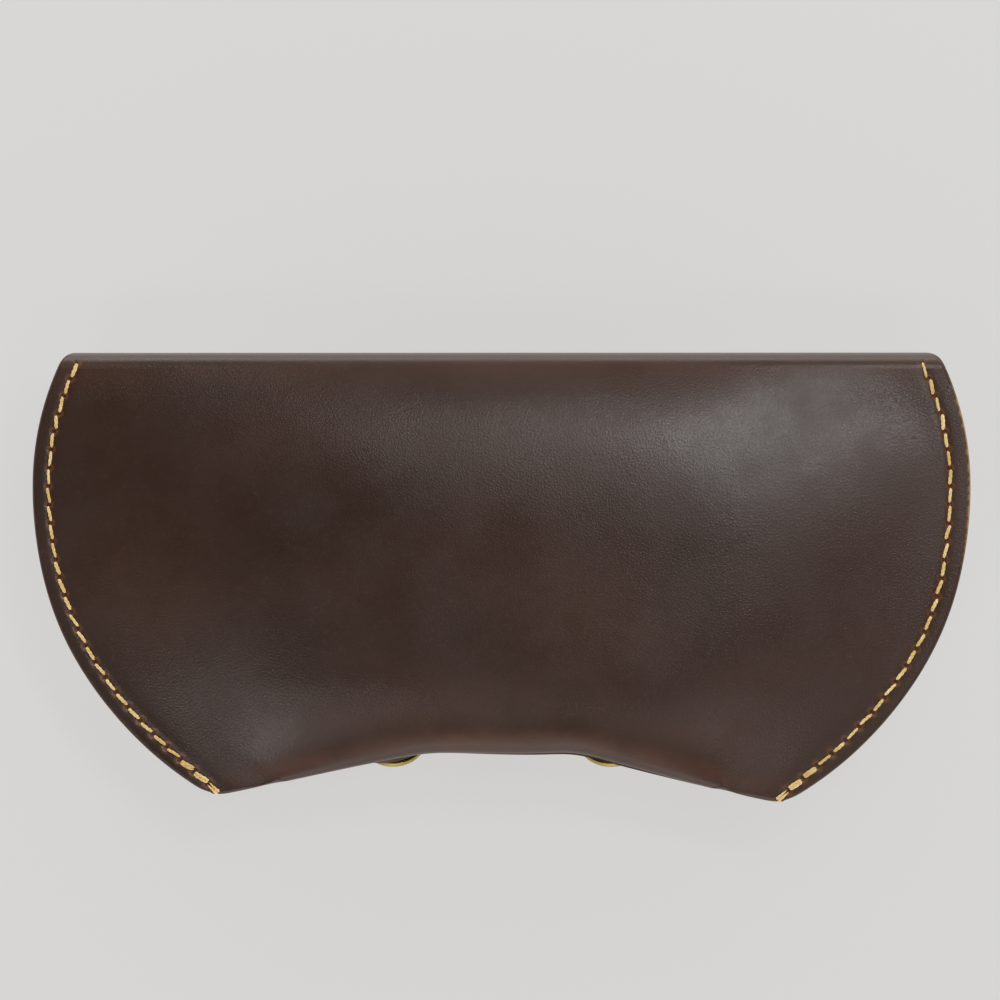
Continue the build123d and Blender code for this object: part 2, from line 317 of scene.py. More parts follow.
def beside_seam(x, rise):
    """How far along the stitch line a point lies, and how far inside it."""
    up = seam_rises[::-1]
    slope = np.gradient(seam_xs[::-1], up)
    turn = np.arctan(np.interp(rise, up, slope))
    away = (np.interp(rise, up, seam_xs[::-1]) - np.abs(x)) * np.cos(turn)
    foot = rise - away * np.sin(turn)
    at_foot = (np.interp(foot, up, seam_xs[::-1]) - np.abs(x)) * np.cos(turn)
    run = np.interp(foot, up, seam_runs[::-1])
    run = run - np.maximum(foot - up[-1], 0) + 1.8 * np.maximum(up[0] - foot, 0)
    return run, (at_foot + away) / 2


def pulled_in(x, rise):
    """How deep the thread pulls the hide in along the seam."""
    run, away = beside_seam(x, rise)
    inside = smooth((run + 1.5) / 1.5)
    to_hole = (run / stitch_pitch - 0.5 * stitch_length / stitch_pitch + 0.5) % 1.0
    to_hole = np.minimum(to_hole, 1 - to_hole) * stitch_pitch
    channel = channel_depth * bell(away, channel_width)
    hole = hole_depth * bell(to_hole, hole_width) * bell(away, hole_width)
    return (channel + hole) * inside


wave_rng = np.random.default_rng(11)
waves = [
    (
        wave_rng.uniform(longest_wave, shortest_wave),
        wave_rng.uniform(0, 2 * np.pi),
        wave_rng.uniform(0, 2 * np.pi),
    )
    for _ in range(wave_count)
]


def hand_shape(x, rise, amount):
    """Soft unevenness of hide shaped by hand."""
    total = 0 * x
    for pitch, angle, phase in waves:
        total = total + np.sin(pitch * (x * np.cos(angle) + rise * np.sin(angle)) + phase) / (1 + 9 * pitch)
    return amount * total


# Mesh building

class Skin:
    """Collects grids of points with values per point, then makes one mesh of them."""

    def __init__(self):
        self.points, self.faces, self.kinds = [], [], []
        self.values = {"wear": [], "bare": [], "seam_along": [], "seam_away": [], "crease": [], "pale": []}
        self.count = 0

    def grid(self, points, kind, flip=False, **values):
        rows, cols = points.shape[:2]
        index = np.arange(rows * cols).reshape(rows, cols) + self.count
        quads = np.stack(
            [index[:-1, :-1], index[1:, :-1], index[1:, 1:], index[:-1, 1:]], axis=-1
        ).reshape(-1, 4)
        if flip:
            quads = quads[:, ::-1]
        self.points.append(points.reshape(-1, 3))
        self.faces.append(quads)
        self.kinds.append(np.full(len(quads), kind))
        for name, held in self.values.items():
            value = values.get(name, far_from_seam if name.startswith("seam") else 0.0)
            held.append(np.broadcast_to(value, (rows, cols)).reshape(-1))
        self.count += rows * cols

    def mesh(self, name, materials):
        points = np.concatenate(self.points)
        faces = np.concatenate(self.faces)
        kinds = np.concatenate(self.kinds)
        data = bpy.data.meshes.new(name)
        data.vertices.add(len(points))
        data.vertices.foreach_set("co", world(points).astype(np.float32).ravel())
        data.loops.add(faces.size)
        data.loops.foreach_set("vertex_index", faces.astype(np.int32).ravel())
        data.polygons.add(len(faces))
        data.polygons.foreach_set("loop_start", np.arange(0, faces.size, 4, dtype=np.int32))
        data.polygons.foreach_set("material_index", kinds.astype(np.int32))
        for value_name, held in self.values.items():
            attribute = data.attributes.new(value_name, "FLOAT", "POINT")
            attribute.data.foreach_set("value", np.concatenate(held).astype(np.float32))
        data.update()
        data.validate()
        obj = bpy.data.objects.new(name, data)
        bpy.context.scene.collection.objects.link(obj)
        weld(data)
        for material in materials:
            data.materials.append(material)
        data.shade_smooth()
        return obj


def weld(data):
    """Joins points that lie on each other, and drops faces with no area."""
    body = bmesh.new()
    body.from_mesh(data)
    bmesh.ops.remove_doubles(body, verts=body.verts, dist=2e-6)
    bmesh.ops.dissolve_degenerate(body, edges=body.edges, dist=1e-7)
    body.to_mesh(data)
    body.free()


def normals(points):
    """Unit normals of a grid of points, across its rows and columns."""
    along = np.gradient(points, axis=1)
    across = np.gradient(points, axis=0)
    normal = np.cross(across, along)
    return normal / np.maximum(np.linalg.norm(normal, axis=-1, keepdims=True), 1e-9)


def between(start, end, outward, humps):
    """A strip that closes a cut edge: from start to end, rounded outward once or per layer."""
    shares = np.array(groove_share)
    bulge = np.abs(np.sin(np.pi * humps * shares)) ** 0.6
    strip = start[:, None] + (end - start)[:, None] * shares[None, :, None]
    return strip + outward[:, None] * bulge[None, :, None]


# Materials

def nodes_of(name):
    """A new material with its node tree and its shader."""
    material = bpy.data.materials.new(name)
    material.use_nodes = True
    tree = material.node_tree
    shader = tree.nodes["Principled BSDF"]
    return material, tree, shader


class Wire:
    """Short ways to add and link shader nodes."""

    def __init__(self, tree):
        self.tree = tree

    def node(self, kind, **settings):
        made = self.tree.nodes.new(kind)
        for key, value in settings.items():
            setattr(made, key, value)
        return made

    def join(self, source, target):
        if hasattr(source, "is_output"):
            self.tree.links.new(source, target)
        else:
            target.default_value = source

    def math(self, operation, *inputs, clamp=False):
        made = self.node("ShaderNodeMath", operation=operation, use_clamp=clamp)
        for socket, value in zip(made.inputs, inputs):
            self.join(value, socket)
        return made.outputs[0]

    def mix(self, factor, first, second):
        made = self.node("ShaderNodeMix", data_type="RGBA")
        self.join(factor, made.inputs["Factor"])
        self.join(first, made.inputs["A"])
        self.join(second, made.inputs["B"])
        return made.outputs["Result"]

    def range(self, value, low, high, to_low=0.0, to_high=1.0):
        made = self.node("ShaderNodeMapRange", interpolation_type="SMOOTHSTEP")
        self.join(value, made.inputs["Value"])
        for name, number in zip(("From Min", "From Max", "To Min", "To Max"), (low, high, to_low, to_high)):
            made.inputs[name].default_value = number
        return made.outputs["Result"]

    def seen(self):
        """One for rays that show the background: from the camera, mirrored or let through."""
        path = self.node("ShaderNodeLightPath")
        total = self.math("ADD", path.outputs["Is Camera Ray"], path.outputs["Is Glossy Ray"], clamp=True)
        return self.math("ADD", total, path.outputs["Is Transmission Ray"], clamp=True)

    def value(self, name):
        return self.node("ShaderNodeAttribute", attribute_name=name).outputs["Fac"]

    def place(self, scale=(1, 1, 1), turn=0.0):
        where = self.node("ShaderNodeTexCoord")
        mapping = self.node("ShaderNodeMapping")
        self.join(where.outputs["Object"], mapping.inputs["Vector"])
        mapping.inputs["Scale"].default_value = scale
        mapping.inputs["Rotation"].default_value = (0, 0, turn)
        return mapping.outputs["Vector"]

    def noise(self, scale, detail=3.0, rough=0.55, place=None, distortion=0.0):
        made = self.node("ShaderNodeTexNoise")
        self.join(place or self.place(), made.inputs["Vector"])
        made.inputs["Scale"].default_value = scale
        made.inputs["Detail"].default_value = detail
        made.inputs["Roughness"].default_value = rough
        made.inputs["Distortion"].default_value = distortion
        return made.outputs["Fac"]

    def cells(self, scale):
        made = self.node("ShaderNodeTexVoronoi", feature="DISTANCE_TO_EDGE")
        self.join(self.place(), made.inputs["Vector"])
        made.inputs["Scale"].default_value = scale
        return made.outputs["Distance"]

    def bump(self, height, strength, distance, below=None):
        made = self.node("ShaderNodeBump")
        made.inputs["Strength"].default_value = strength
        made.inputs["Distance"].default_value = distance
        self.join(height, made.inputs["Height"])
        if below is not None:
            self.join(below, made.inputs["Normal"])
        return made.outputs["Normal"]


def full_grain():
    """Waxed dark brown hide: redder where rubbed, with a painted grey sheen on the fold's crest, needle
    holes on the seam with painted shade inside them.
    """
    material, tree, shader = nodes_of("full_grain_hide")
    w = Wire(tree)
    clouds = w.noise(17, 4, 0.5, distortion=0.3)
    patches = w.noise(75, 4, 0.6)
    specks = w.noise(900, 4, 0.65)
    base = w.mix(w.range(clouds, 0.34, 0.68), (0.0290, 0.0132, 0.0082, 1), (0.0450, 0.0190, 0.0115, 1))
    base = w.mix(w.range(patches, 0.35, 0.75, 0, 0.20), base, (0.048, 0.022, 0.014, 1))
    base = w.mix(w.range(specks, 0.50, 0.8, 0, 0.30), base, (0.075, 0.038, 0.024, 1))
    rubbed = w.math("MULTIPLY", w.value("wear"), w.range(w.noise(120, 4, 0.6), 0.25, 0.75, 0.45, 1.0))
    base = w.mix(rubbed, base, (0.088, 0.032, 0.015, 1))
    bare = w.math("MULTIPLY", w.value("bare"), w.range(w.noise(140, 3, 0.6), 0.3, 0.6, 0.75, 1.0))
    base = w.mix(w.math("MULTIPLY", bare, 0.6), base, (0.40, 0.22, 0.085, 1))
    # Painted sheen: the pale value paints the fold's crest grey, in place of its gloss
    base = w.mix(w.value("pale"), base, (0.25, 0.205, 0.18, 1))

    along = w.value("seam_along")
    away = w.value("seam_away")
    from_hole = w.math("SUBTRACT", along, stitch_length / 2 - stitch_pitch / 2)
    step = w.math("FRACT", w.math("DIVIDE", from_hole, stitch_pitch))
    near = w.math("MULTIPLY", w.math("MINIMUM", step, w.math("SUBTRACT", 1.0, step)), stitch_pitch)
    spot = w.math("SQRT", w.math("ADD", w.math("POWER", near, 2.0), w.math("POWER", away, 2.0)))
    hole = w.range(spot, 0.60, 0.20)
    rust = w.range(spot, 1.15, 0.25, 0.0, 0.85)
    halo = w.range(w.math("ABSOLUTE", away), 1.3, 0.3, 0.0, 0.4)
    base = w.mix(halo, base, (0.075, 0.034, 0.017, 1))
    base = w.mix(rust, base, (0.200, 0.070, 0.014, 1))
    # Painted shade: the insides of the needle holes are painted near-black
    base = w.mix(w.math("MULTIPLY", hole, 0.8), base, (0.020, 0.007, 0.002, 1))

    grain = w.range(w.cells(1650), 0.0, 0.30)
    pores = w.noise(2400, 3, 0.6)
    folds = w.noise(780, 2, 0.5, place=w.place((1, 2.6, 1), 0.12), distortion=0.4)
    ridges = w.range(w.math("ABSOLUTE", w.math("SUBTRACT", folds, 0.5)), 0.0, 0.05)
    normal = w.bump(grain, 0.13, 0.00008)
    normal = w.bump(pores, 0.16, 0.00008, normal)
    normal = w.bump(w.noise(90, 3, 0.5), 0.12, 0.0005, normal)
    creased = w.math("MULTIPLY", w.math("SUBTRACT", ridges, 1.0), w.value("crease"))
    normal = w.bump(creased, 0.16, 0.00012, normal)
    normal = w.bump(w.math("MULTIPLY", hole, -1.0), 0.8, 0.0003, normal)
    w.join(normal, shader.inputs["Normal"])
    w.join(base, shader.inputs["Base Color"])
    rough = w.range(w.noise(60, 4, 0.6), 0.3, 0.7, 0.27, 0.36)
    w.join(w.math("ADD", rough, w.math("MULTIPLY", w.value("wear"), 0.10)), shader.inputs["Roughness"])
    shader.inputs["Specular IOR Level"].default_value = 0.5
    return material


def flesh_side():
    """The unfinished inside of the hide."""
    material, tree, shader = nodes_of("flesh_side")
    w = Wire(tree)
    nap = w.noise(700, 5, 0.7, place=w.place((1, 0.35, 1)))
    base = w.mix(w.range(w.noise(60, 4), 0.3, 0.7), (0.110, 0.060, 0.036, 1), (0.165, 0.098, 0.060, 1))
    base = w.mix(w.range(nap, 0.35, 0.75, 0, 0.6), base, (0.235, 0.150, 0.098, 1))
    w.join(base, shader.inputs["Base Color"])
    w.join(w.bump(nap, 0.6, 0.0003), shader.inputs["Normal"])
    shader.inputs["Roughness"].default_value = 0.95
    shader.inputs["Specular IOR Level"].default_value = 0.25
    return material


def cut_edge():
    """The burnished cut edge of the hide."""
    material, tree, shader = nodes_of("cut_edge")
    w = Wire(tree)
    fibres = w.noise(900, 5, 0.7, place=w.place((1, 1, 2.5)))
    base = w.mix(w.range(w.noise(90, 4), 0.35, 0.65), (0.055, 0.026, 0.015, 1), (0.115, 0.055, 0.028, 1))
    base = w.mix(w.range(fibres, 0.4, 0.8, 0, 0.6), base, (0.050, 0.024, 0.014, 1))
    base = w.mix(w.math("MULTIPLY", w.value("bare"), 0.75), base, (0.42, 0.240, 0.095, 1))
    w.join(base, shader.inputs["Base Color"])
    w.join(w.bump(fibres, 0.4, 0.0002), shader.inputs["Normal"])
    shader.inputs["Roughness"].default_value = 0.6
    return material


def waxed_thread():
    """Mustard thread: the strands are modelled, fibres and dirt are here."""
    material, tree, shader = nodes_of("waxed_thread")
    w = Wire(tree)
    fibres = w.noise(3500, 4, 0.7)
    base = w.mix(w.range(w.noise(260, 3), 0.3, 0.7), (0.68, 0.43, 0.130, 1), (0.90, 0.68, 0.31, 1))
    base = w.mix(w.range(fibres, 0.5, 0.85, 0, 0.45), base, (0.36, 0.18, 0.045, 1))
    w.join(base, shader.inputs["Base Color"])
    w.join(w.bump(fibres, 0.4, 0.0001), shader.inputs["Normal"])
    shader.inputs["Roughness"].default_value = 0.62
    shader.inputs["Sheen Weight"].default_value = 0.2
    return material


def brass(name, colour, low, high, scratches):
    """Metal with fine wear."""
    material, tree, shader = nodes_of(name)
    w = Wire(tree)
    stain = w.noise(420, 4, 0.6)
    darker = tuple(part * 0.55 for part in colour)
    base = w.mix(w.range(stain, 0.5, 0.85, 0, 0.6), (*colour, 1), (*darker, 1))
    w.join(base, shader.inputs["Base Color"])
    w.join(w.range(w.noise(900, 4), 0.3, 0.7, low, high), shader.inputs["Roughness"])
    streaks = w.noise(1800, 3, place=w.place((1, 6, 1), 0.7))
    w.join(w.bump(streaks, scratches, 0.00005), shader.inputs["Normal"])
    shader.inputs["Metallic"].default_value = 1.0
    return material


hide = full_grain()
flesh = flesh_side()
edge = cut_edge()
thread = waxed_thread()
cap_metal = brass("polished_brass", (0.46, 0.35, 0.10), 0.10, 0.22, 0.15)
stud_metal = brass("satin_brass", (0.74, 0.54, 0.26), 0.30, 0.45, 0.25)
GRAIN, FLESH, EDGE = 0, 1, 2


# The sewn pocket: back panel, rolled lower edge and pocket front, one piece of hide

def panel(front, offset, rows, top=None):
    """Points of one skin of a panel, column by column from the lower edge up."""
    steps = np.linspace(0, 1, profile_steps) ** 3
    along = steps[None, :] * (1.0 if top is None else top[:, None])
    across = ACROSS[:, None] + 0 * along
    points, flange = wall(across, along, offset, front, edge_round)
    return evened(points, rows, flange)


def mouth_along():
    """How far up each column of the pocket front reaches."""
    half, rise = mouth_half_width, hinge_rise - mouth_rise
    radius = (half ** 2 + rise ** 2) / (2 * rise)
    x = spread(ACROSS, hinge_rise + 0 * ACROSS, edge_round)[0]
    arc = mouth_rise + radius - np.sqrt(np.maximum(radius ** 2 - x ** 2, 0))
    top = np.minimum(arc, hinge_rise - mouth_side_gap)
    bottom = notch_line(spread(ACROSS, 0 * ACROSS)[0])
    return (top - bottom) / (hinge_rise - bottom)


pocket = Skin()
tops = mouth_along()
back_outer, back_flange = panel(False, leather, back_rows)
back_inner, _ = panel(False, inner_clear, back_rows)
front_outer, _ = panel(True, leather, front_rows, tops)
front_inner, _ = panel(True, inner_clear, front_rows, tops)


def settle(skins):
    """The rolled edge follows the lower outline exactly, and the corners are rounded off."""
    lowest = np.minimum.reduce([skin[..., 1].min(axis=1) for skin in skins])
    wanted = notch_line(skins[0][:, 0, 0]) + edge_round * back_flange[:, 0]
    drop = (wanted - lowest)[:, None]
    for skin in skins:
        skin[..., 1] += drop * (1 - smooth((skin[..., 1] - lowest[:, None]) / settle_height))
        tip = side_half_width(np.array(0.0))
        far = np.hypot(np.abs(skin[..., 0]) - tip, skin[..., 1])
        pull = np.where(skin[..., 0] > 0, right_corner_pull, left_corner_pull)
        pull = pull * np.clip(1 - far / corner_reach, 0, 1) ** 2
        skin[..., 0] -= np.sign(skin[..., 0]) * 0.25 * pull
        skin[..., 1] += pull


settle([back_outer, front_outer, back_inner, front_inner])


def seam_values(points):
    """Where each point lies along and beside the seam, for the needle holes in the material."""
    run, away = beside_seam(points[..., 0], points[..., 1])
    started = run > -0.9
    return np.where(started, run, -0.6), np.where(started, away, far_from_seam)


def worked(points, sign, amount):
    """The skin with the hand shape, the seam's channel and the holes worked into it."""
    x, rise = points[..., 0], points[..., 1]
    facing = normals(points)
    facing = facing * np.sign(facing[..., 2:3] * sign + 1e-9)
    below_fold = smooth((hinge_rise - rise) / wave_fade)
    run, away = beside_seam(x, rise)
    full = smooth((away - 1.0) / wave_fade) * below_fold
    push = hand_shape(x, rise, amount) * full - pulled_in(x, rise)
    return points + facing * push[..., None]


def bare_stretch(rise):
    """Where the dye is worn off the right edge."""
    return smooth((rise - bare_low) / 16) * smooth((bare_high - rise) / 8)


# Rubbed places: x, rise, half width, half height and strength
warm_spots = (
    (-14, 14, 28, 9, 0.42),
    (-64, 38, 14, 16, 0.26),
    (-20, 66, 40, 8, 0.16),
    (34, 11, 16, 6, 0.30),
    (8, 34, 24, 12, 0.14),
)
# Finely creased places: x, rise, half width and half height
crease_spots = ((75, 75, 10, 3.5), (-72, 76, 8, 3))
back_x, back_rise = back_outer[..., 0], back_outer[..., 1]
from_low = back_rise - notch_line(back_x)
wear = edge_wear * bell(from_low - edge_wear_rise, edge_wear_spread) * smooth((60 - np.abs(back_x)) / 20)
wear = wear + top_wear * bell(hinge_rise - back_rise, top_wear_spread)
for spot_x, spot_rise, wide, tall, much in warm_spots:
    wear = wear + much * bell(back_x - spot_x, wide) * bell(back_rise - spot_rise, tall)
crease = 0 * wear
for spot_x, spot_rise, wide, tall in crease_spots:
    crease = crease + crease_strength * bell(back_x - spot_x, wide) * bell(back_rise - spot_rise, tall)
run, away = seam_values(back_outer)
bare = bell(side_half_width(back_rise) - back_x, 0.3) * bare_stretch(back_rise)
back_outer = worked(back_outer, -1, back_unevenness)
pocket.grid(
    back_outer, GRAIN, wear=wear, bare=bare, crease=np.minimum(crease, 1), seam_along=run, seam_away=away
)
run, away = seam_values(front_outer)
front_wear = bell(front_outer[..., 1] - notch_line(front_outer[..., 0]) - 2.0, 2.5)
front_outer = worked(front_outer, 1, front_unevenness)
pocket.grid(front_outer, GRAIN, flip=True, wear=0.8 * front_wear, seam_along=run, seam_away=away)
pocket.grid(back_inner, FLESH, flip=True)
pocket.grid(front_inner, FLESH)


def side_outward(points, sign):
    """Outward direction of the outline at points on the left or right side."""
    centre = np.array([sign * (half_width - lower_side_radius), widest_rise, 0.0])
    upper = np.array([sign * (half_width - upper_side_radius), widest_rise, 0.0])
    middle = np.where(points[:, 1:2] < widest_rise, centre, upper)
    away = (points - middle) * np.array([1.0, 1.0, 0.0])
    return away / np.linalg.norm(away, axis=1, keepdims=True) * edge_round


for sign, column in ((-1, 0), (1, -1)):
    back_line = back_outer[column]
    pick = np.linspace(0, front_rows - 1, back_rows)
    base = np.arange(front_rows)
    front_line = np.stack([np.interp(pick, base, front_outer[column][:, a]) for a in range(3)], axis=-1)
    strip = between(back_line, front_line, side_outward(back_line, sign), 2)
    bare_edge = bare_stretch(strip[..., 1]) if sign > 0 else 0.0
    pocket.grid(strip, EDGE, flip=sign > 0, bare=bare_edge)
low_back, low_front = back_outer[:, 0], front_outer[:, 0]
downward = np.stack([0 * low_back[:, 0], -edge_round * back_flange[:, 0], 0 * low_back[:, 0]], axis=-1)
corner = np.exp(-((1 - np.abs(ACROSS)) / 0.006))
sideways = np.sign(ACROSS) * corner * edge_round * 0.8
downward[:, 0] += sideways
# The strip shares points with the hide beside it, so it takes on its wear
pocket.grid(between(low_back, low_front, downward, 2), EDGE, wear=0.6)
mouth_outer, mouth_inner = front_outer[:, -1], front_inner[:, -1]
upward = np.array([0.0, edge_round, 0.0]) + 0 * mouth_outer
pocket.grid(between(mouth_outer, mouth_inner, upward, 1), EDGE, flip=True)
pocket_hide = pocket.mesh("pocket_hide", [hide, flesh, edge])
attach(pocket_hide, "shell")
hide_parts("back_panel", "pocket_front")


# The top fold and the flap, the rest of the same hide

def flap_lip(across):
    """The rise of the flap's lower edge, with a tab round each stud."""
    corner = np.abs(across) ** flap_corner_power
    from_stud = (np.abs(spread(across * flap_part, 0 * across)[0]) - stud_x) / tab_half_width
    lip = flap_lip_height + (flap_corner_height - flap_lip_height) * corner
    return lip - tab_drop * bell(from_stud, 1.0)


zero = np.array([0.0])
stud_bottom = notch_line(np.array([stud_x]))[0]
stud_along = stud_height / (hinge_rise - stud_bottom - leather)
stud_across = stud_x / spread(np.array([hollow_part]), zero + stud_along * hinge_rise)[0][0] * hollow_part
stud_centres = [
    wall(zero + sign * stud_across, zero + stud_along, 0.0, True)[0][0] for sign in (-1, 1)
]


def flap_skin(offset, rows):
    """Points of one skin of the flap, column by column from its lower edge up."""
    start = flap_lip(ACROSS) / hinge_rise
    steps = np.linspace(0, 1, profile_steps) ** 2
    along = start[:, None] + (1 - start[:, None]) * steps[None, :]
    drawn_in = (1 - flap_part) * smooth((1 - along) / flap_taper)
    spot = ACROSS[:, None] * (1 - drawn_in)
    hollow = wall(spot, along, 0.0, True)[0]
    lift = 0
    for centre in stud_centres:
        far = np.linalg.norm(hollow - centre, axis=-1)
        lift = lift + stud_lift * bell(far, stud_lift_spread)
    gap = lip_gap + (flap_gap - lip_gap) * smooth(along / flap_gap_reach)
    points = wall(spot, along, leather + gap + lift + offset, True, edge_round)[0]
    return evened(points, rows)[0]


def fold_skin(radius):
    """The bend from the back panel's top to the flap's, from back to front."""
    turn = np.linspace(0, np.pi, fold_rows)
    rise = hinge_rise + radius * np.sin(turn)
    depth = fold_inner_radius - radius * np.cos(turn)
    top = spread(ACROSS, hinge_rise + 0 * ACROSS, edge_round)[0]
    end = side_half_width(np.array(hinge_rise))
    beyond = (rise - hinge_rise) / fold_outer_radius
    narrowed = (side_half_width(rise) - fold_corner * (1 - np.sqrt(np.clip(1 - beyond ** 4, 0, 1)))) / end
    x = top[:, None] * narrowed[None, :]
    share = np.minimum(np.abs(ACROSS) / hollow_part, 1.0)
    slope = top_tilt((1 - share ** side_power) ** side_blunt)[0][:, None]
    lean = radius * (np.sqrt(1 + slope ** 2) - 1) - slope * (rise - hinge_rise) + radius
    straight = (turn < np.arctan(slope)) & (turn < np.pi / 2)
    depth = np.where(straight, fold_inner_radius - lean, depth[None, :] + 0 * x)
    return np.stack([x, rise[None, :] + 0 * x, depth], axis=-1)


outer_fold = fold_skin(fold_outer_radius)
inner_fold = fold_skin(fold_inner_radius)
outer_flap = flap_skin(leather, flap_rows)[:, ::-1]
inner_flap = flap_skin(0.0, flap_rows)[:, ::-1]
outer_flap[..., 2] = np.minimum(outer_flap[..., 2], seam_height)
outer_cover = np.concatenate([outer_fold, outer_flap[:, 1:]], axis=1)
inner_cover = np.concatenate([inner_fold, inner_flap[:, 1:]], axis=1)

cover = Skin()
over_fold = np.zeros(outer_cover.shape[:2])
turn = np.linspace(0, 1, fold_rows)
over_fold[:, :fold_rows] = top_wear * bell(turn, 0.30)
over_lip = lip_wear * bell(outer_cover[..., 1] - outer_cover[:, -1:, 1], 3.0)
# Painted sheen along the fold's crest: a grey highlight painted into the colour
painted_fold_sheen = np.zeros(outer_cover.shape[:2])
painted_fold_sheen[:, :fold_rows] = painted_bend_sheen * bell(turn - 0.37, 0.17)
run, away = seam_values(outer_cover)
away[:, fold_rows // 2:] = far_from_seam
cover.grid(
    outer_cover, GRAIN, flip=True, wear=np.minimum(over_fold + over_lip, 1), pale=painted_fold_sheen,
    seam_along=run, seam_away=away,
)
cover.grid(inner_cover, FLESH)
for sign, column in ((-1, 0), (1, -1)):
    outward = side_outward(outer_cover[column], sign)
    cover.grid(between(outer_cover[column], inner_cover[column], outward, 1), EDGE, flip=sign < 0)
lip_outer, lip_inner = outer_cover[:, -1], inner_cover[:, -1]
downward = np.array([0.0, -edge_round, 0.0]) + 0 * lip_outer
cover.grid(between(lip_outer, lip_inner, downward, 1), EDGE, flip=True)
cover_hide = cover.mesh("cover_hide", [hide, flesh, edge])
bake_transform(cover_hide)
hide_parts("top_fold", "flap")


# Saddle stitches: twisted strands that dip into the needle holes

def strand(path, radius, ups, twist=strand_twist):
    """A twisted thread along a path of points in millimetres. Returns its grid of points."""
    count = len(path)
    around = np.linspace(0, 2 * np.pi, 17)[:-1]
    ahead = np.gradient(path, axis=0)
    ahead = ahead / np.linalg.norm(ahead, axis=1, keepdims=True)
    side = np.cross(ups, ahead)
    side = side / np.linalg.norm(side, axis=1, keepdims=True)
    up = np.cross(ahead, side)
    run = np.concatenate([[0], np.cumsum(np.linalg.norm(np.diff(path, axis=0), axis=1))])
    ends = np.sqrt(np.clip(1 - np.abs(np.linspace(-1, 1, count)) ** 6, 0.04, 1))
    shape = []
    for number in range(count):
        lobes = 1 + 0.16 * np.cos(3 * (around - twist * run[number]))
        reach = radius * ends[number] * lobes
        shape.append(
            path[number]
            + np.outer(np.cos(around) * reach, side[number])
            + np.outer(np.sin(around) * reach * strand_flatness, up[number])
        )
    return np.array(shape)


class Threads:
    """Collects closed tubes into one mesh."""

    def __init__(self):
        self.points, self.faces, self.count = [], [], 0

    def tube(self, rings):
        steps, around = rings.shape[:2]
        index = np.arange(steps * around).reshape(steps, around) + self.count
        nxt = np.roll(index, -1, axis=1)
        quads = np.stack([index[:-1], nxt[:-1], nxt[1:], index[1:]], axis=-1).reshape(-1, 4)
        self.points.append(rings.reshape(-1, 3))
        self.faces += quads.tolist() + [index[0][::-1].tolist(), index[-1].tolist()]
        self.count += steps * around

    def mesh(self, name, material):
        data = bpy.data.meshes.new(name)
        data.from_pydata(world(np.concatenate(self.points)).tolist(), [], self.faces)
        data.validate()
        data.materials.append(material)
        data.shade_smooth()
        obj = bpy.data.objects.new(name, data)
        bpy.context.scene.collection.objects.link(obj)
        return obj


def seam_frame(run, sign):
    """The place on the stitch line, its direction and the way out to the edge."""
    x = np.interp(run, seam_runs, seam_xs)
    rise = np.interp(run, seam_runs, seam_rises)
    ahead = np.array([
        np.interp(run + 0.2, seam_runs, seam_xs) - np.interp(run - 0.2, seam_runs, seam_xs),
        np.interp(run + 0.2, seam_runs, seam_rises) - np.interp(run - 0.2, seam_runs, seam_rises),
    ])
    ahead = ahead / np.linalg.norm(ahead)
    place = np.array([sign * x, rise, 0.0])
    along = np.array([sign * ahead[0], ahead[1], 0.0])
    out = np.array([-sign * ahead[1], ahead[0], 0.0])
    if out[0] * sign < 0:
        out = -out
    return place, along, out


def sew(name, sign, seed):
    """One seam's stitches on both faces, and the thread wrapped over the lower edge at its end."""
    rng = np.random.default_rng(seed)
    work = Threads()
    for face in (-1, 1):
        for number in range(stitch_count):
            middle = stitch_length / 2 + number * stitch_pitch
            spot, along, out = seam_frame(middle, sign)
            slant = math.radians(stitch_slant + rng.normal(0, 4.0)) * face
            ahead = along * math.cos(slant) + out * math.sin(slant)
            beside = out * math.cos(slant) - along * math.sin(slant)
            length = stitch_length * (1 + rng.normal(0, 0.06)) + stitch_dip
            thick = thread_radius * (1 + rng.normal(0, 0.10))
            last = number >= stitch_count - doubled_stitches
            for strand_side in ((-strand_gap, strand_gap) if last else (0.0,)):
                share = np.linspace(-1, 1, 19)
                lift = thread_lift - 0.42 * np.abs(share) ** 5 + rng.normal(0, 0.01)
                bow = 0.05 * (1 - share ** 2) * rng.normal(0, 1)
                path = spot + np.outer(share * length / 2, ahead)
                path = path + np.outer(bow + strand_side * (1 - 0.35 * share ** 4), beside)
                drop = fold_outer_radius - np.sqrt(
                    fold_outer_radius ** 2 - np.clip(path[:, 1] - hinge_rise, 0, 2.5) ** 2
                )
                path[:, 2] = face * (leather + lift - drop)
                ups = np.tile([0.0, 0.0, float(face)], (len(path), 1))
                work.tube(strand(path, thick, ups, strand_twist * face * sign))
    end = stitch_length + (stitch_count - 1) * stitch_pitch
    spot, along, out = seam_frame(end + wrap_start, sign)
    reach = (spot[1] - wrap_rise) / -along[1]
    for strand_side in (-wrap_gap, wrap_gap):
        turn = np.linspace(-1.0, 1.0, 41)
        path = spot + np.outer(np.clip(1 - np.abs(turn) ** 4, 0, 1) * reach, along)
        path = path + strand_side * out
        path[:, 2] = (leather + thread_lift) * np.sign(turn) * np.minimum(np.abs(turn) * 1.9, 1.0)
        path[:, 2] -= np.sign(turn) * 0.35 * np.clip((np.abs(turn) - 0.92) / 0.08, 0, 1)
        ups = np.outer(1 - np.abs(turn), along) + np.outer(turn, [0.0, 0.0, 1.0])
        ups = ups / np.linalg.norm(ups, axis=1, keepdims=True)
        work.tube(strand(path, wrap_radius, ups))
    return work.mesh(name, thread)


for side, sign in (("left", -1), ("right", 1)):
    stitches = sew(f"stitches_{side}", sign, 5 + sign)
    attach(stitches, "shell")
    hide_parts(f"seam_thread_{side}")


# Press studs keep their built shape and take finer metals

